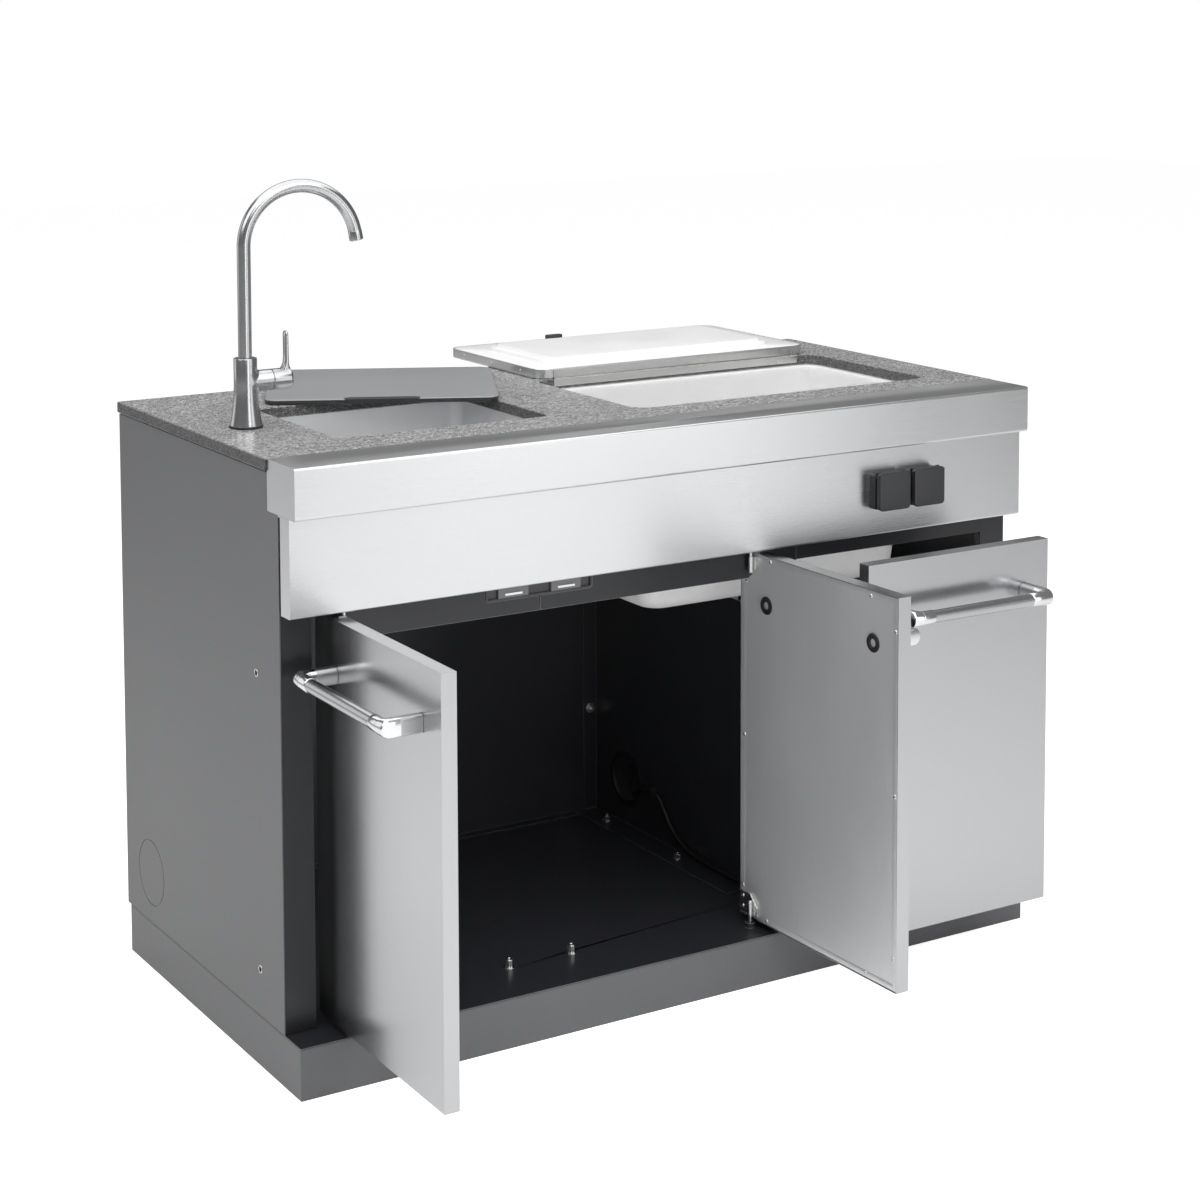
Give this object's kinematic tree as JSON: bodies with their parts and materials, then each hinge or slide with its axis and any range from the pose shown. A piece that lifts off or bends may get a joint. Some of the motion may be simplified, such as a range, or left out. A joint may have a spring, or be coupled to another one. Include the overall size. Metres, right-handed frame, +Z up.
{
  "type": "outdoor kitchen island",
  "caption": "Steel outdoor kitchen island with a granite worktop, sink and swivel tap, ice bin with hinged lid, hinged cupboard doors and a drawer.",
  "frame": {"origin": "on the floor under the middle of the cabinet's side panels and plinth", "axes": "+X to the right as seen from the front, +Y to the back, +Z up"},
  "size_m": [1.352, 1.1269, 1.2956],
  "materials": {
    "stainless": "brushed",
    "liner_steel": "brushed",
    "handle_steel": "brushed",
    "tap_steel": "brushed",
    "bowl_steel": "brushed",
    "coated_grey": "satin",
    "coated_black": "gloss",
    "granite": "polished",
    "zinc": "satin",
    "white_plastic": "satin",
    "cover_grey": "satin",
    "dark_plastic": "satin",
    "rubber": "matte"
  },
  "bodies": {
    "cabinet": {"base_pan": "coated_grey", "floor_panel": "coated_black", "left_side_panel": "coated_grey", "right_side_panel": "coated_grey", "back_panel": "coated_black", "divider_panel": "coated_black", "left_post": "coated_grey", "centre_post": "coated_black", "right_post": "coated_black", "header_rail": "coated_black", "drawer_header_rail": "coated_black", "upper_fascia": "stainless", "lower_fascia": "stainless", "worktop": "granite", "left_top_bracket": "zinc", "mid_top_bracket": "zinc", "magnetic_catch": "dark_plastic", "left_fixed_runner": "zinc", "right_fixed_runner": "zinc", "sink_bowl": "bowl_steel", "sink_drain": "bowl_steel", "ice_bin": "white_plastic", "ice_bin_drain": "white_plastic", "lid_hinge_fixed_leaf": "zinc", "tap_body": "tap_steel", "tap_nut": "zinc", "socket_bases": "dark_plastic", "power_lead": "rubber", "lead_clip": "dark_plastic", "divider_cable_ring": "rubber", "floor_cable_ring": "rubber"},
    "spout": {"spout_tube": "tap_steel"},
    "mixer": {"mixer_cap": "tap_steel"},
    "lever": {"mixer_lever": "tap_steel"},
    "left_door": {"left_door_skin": "stainless", "left_door_liner": "liner_steel", "left_door_handle": "handle_steel", "left_door_near_plug": "rubber", "left_door_far_plug": "rubber", "left_door_bottom_pivot": "zinc", "left_door_top_pivot": "zinc"},
    "mid_door": {"mid_door_skin": "stainless", "mid_door_liner": "liner_steel", "mid_door_handle": "handle_steel", "mid_door_near_plug": "rubber", "mid_door_far_plug": "rubber", "mid_door_bottom_pivot": "zinc", "mid_door_top_pivot": "zinc"},
    "drawer": {"drawer_skin": "stainless", "drawer_liner": "liner_steel", "drawer_handle": "handle_steel", "drawer_tray": "coated_black"},
    "lid": {"lid_pan": "stainless", "lid_liner": "white_plastic", "lid_pull": "dark_plastic", "lid_hinge_moving_leaf": "zinc"},
    "loose_sink_cover": {"sink_cover": "cover_grey", "sink_cover_grip": "rubber"},
    "left_socket_flap": {"left_socket_cover": "dark_plastic"},
    "right_socket_flap": {"right_socket_cover": "dark_plastic"}
  },
  "joints": [
    {"name": "left_door_hinge", "type": "hinge", "parent": "cabinet", "child": "left_door", "pos_m": [-0.575, -0.288, 0.3885], "axis": [0, 0, 1], "range_deg": [0, 90.5]},
    {"name": "mid_door_hinge", "type": "hinge", "parent": "cabinet", "child": "mid_door", "pos_m": [0.142, -0.288, 0.3885], "axis": [0, 0, 1], "range_deg": [-91, 0]},
    {"name": "drawer_slide", "type": "slide", "parent": "cabinet", "child": "drawer", "axis": [0, 1, 0], "range_m": [-0.12, 0.141]},
    {"name": "lid_hinge", "type": "hinge", "parent": "cabinet", "child": "lid", "pos_m": [0.3035, 0.1579, 0.9153], "axis": [1, 0, 0], "range_deg": [0, 180]},
    {"name": "sink_cover_lift", "type": "slide", "parent": "cabinet", "child": "loose_sink_cover", "axis": [0, 0, 1], "range_m": [0, 0.25]},
    {"name": "spout_swivel", "type": "hinge", "parent": "cabinet", "child": "spout", "pos_m": [-0.594, 0.0065, 1.0226], "axis": [0, 0, 1], "range_deg": [-150, 150]},
    {"name": "mixer_turn", "type": "hinge", "parent": "cabinet", "child": "mixer", "pos_m": [-0.5315, 0.0065, 0.9853], "axis": [1, 0, 0], "range_deg": [-45, 45]},
    {"name": "mixer_lift", "type": "hinge", "parent": "mixer", "child": "lever", "pos_m": [-0.5315, 0.0065, 0.9853], "axis": [0, 1, 0], "range_deg": [0, 20]},
    {"name": "left_flap_hinge", "type": "hinge", "parent": "cabinet", "child": "left_socket_flap", "pos_m": [0.388, -0.3326, 0.8002], "axis": [-1, 0, 0], "range_deg": [0, 100], "stiffness_Nm_per_rad": 0.02},
    {"name": "right_flap_hinge", "type": "hinge", "parent": "cabinet", "child": "right_socket_flap", "pos_m": [0.459, -0.3326, 0.8002], "axis": [-1, 0, 0], "range_deg": [0, 100], "stiffness_Nm_per_rad": 0.02}
  ]
}
